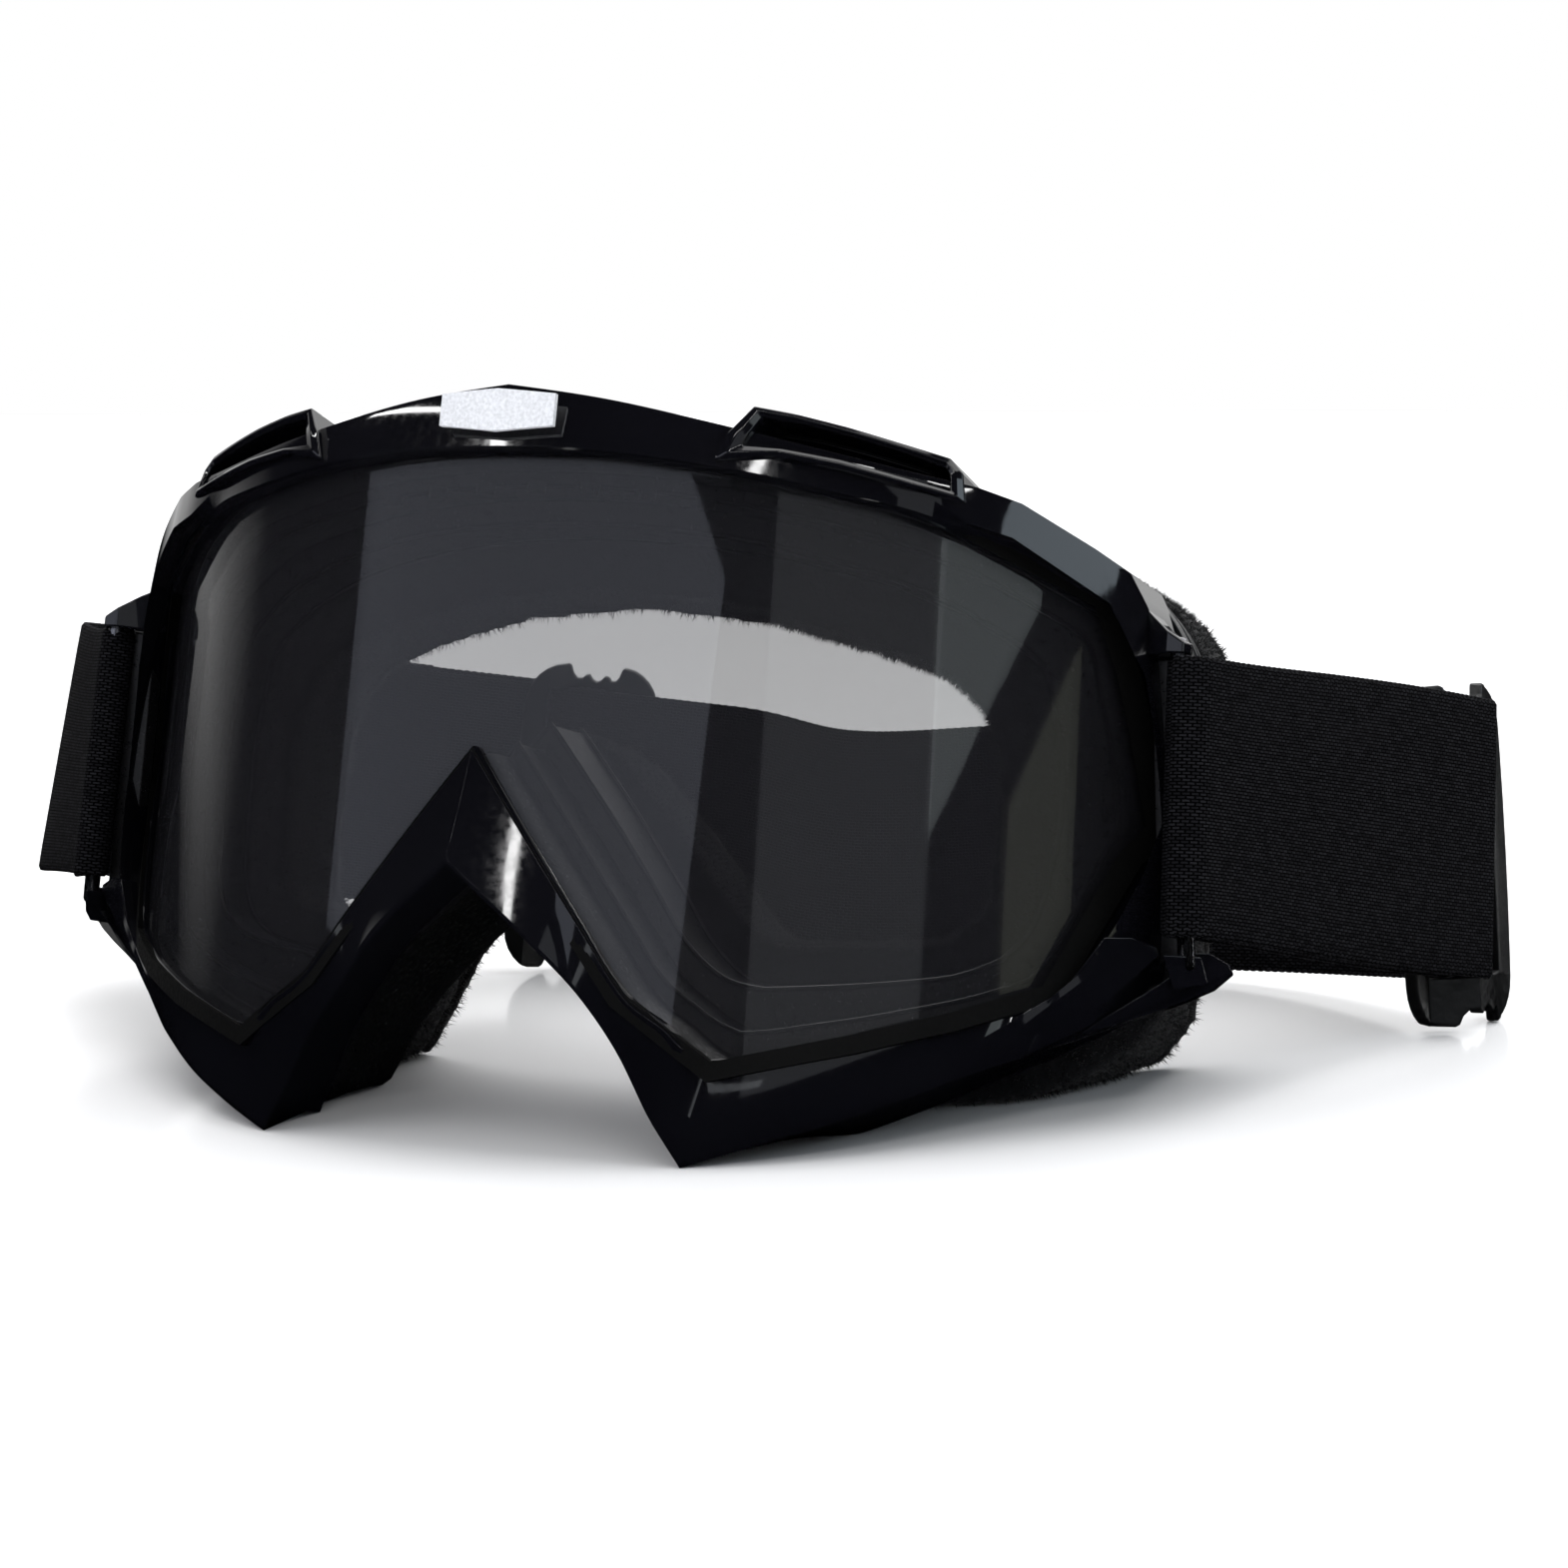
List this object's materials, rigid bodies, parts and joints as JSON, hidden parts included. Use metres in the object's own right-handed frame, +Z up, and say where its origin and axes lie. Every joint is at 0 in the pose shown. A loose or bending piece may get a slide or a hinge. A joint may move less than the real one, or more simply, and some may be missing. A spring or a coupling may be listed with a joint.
{
  "type": "motorcycle goggles",
  "caption": "Off-road motorcycle goggles with a tinted wraparound lens, gloss black frame, foam face seal and an adjustable elastic strap.",
  "frame": {"origin": "on the table, midway between the two cheek tips that the frame stands on", "axes": "+X towards the wearer's left, -Y the way the wearer looks, +Z up from the table"},
  "size_m": [0.2337, 0.1486, 0.101],
  "materials": {
    "gloss_frame": "high-gloss injection moulded black",
    "matte_frame": "matte moulded black",
    "smoke_lens": "smoke-tinted clear polycarbonate",
    "black_rubber": "soft black seal",
    "filter_foam": "open-cell filter foam",
    "face_foam": "flocked black foam",
    "fleece": "short black fleece",
    "silver_badge": "fine-grained silver, blank",
    "steel_pin": "bright steel wire",
    "elastic_webbing": "ribbed woven elastic",
    "matte_adjuster": "satin moulded black"
  },
  "bodies": {
    "goggles": {"front_frame": "gloss_frame", "lens": "smoke_lens", "lens_seal": "black_rubber", "inner_frame": "matte_frame", "frame_studs": "matte_frame", "vent_filter_top": "filter_foam", "vent_filter_cheek_left": "filter_foam", "vent_filter_cheek_right": "filter_foam", "face_foam": "face_foam", "foam_lining": "fleece", "brow_badge": "silver_badge", "strap_bracket_left": "gloss_frame", "strap_bracket_right": "gloss_frame", "strap_lug_left": "gloss_frame", "strap_lug_right": "gloss_frame", "strap_pin_left": "steel_pin", "strap_pin_right": "steel_pin", "strap_webbing": "elastic_webbing"},
    "adjuster_left": {"strap_adjuster_left": "matte_adjuster", "strap_return_left": "elastic_webbing"},
    "adjuster_right": {"strap_adjuster_right": "matte_adjuster", "strap_return_right": "elastic_webbing"}
  },
  "joints": [
    {"name": "adjuster_left_slide", "type": "slide", "parent": "goggles", "child": "adjuster_left", "axis": [0.3167, 0.9252, -0.2093], "range_m": [0, 0.0075]},
    {"name": "adjuster_right_slide", "type": "slide", "parent": "goggles", "child": "adjuster_right", "axis": [-0.9396, -0.3178, 0.1271], "range_m": [-0.01, 0.018]}
  ]
}
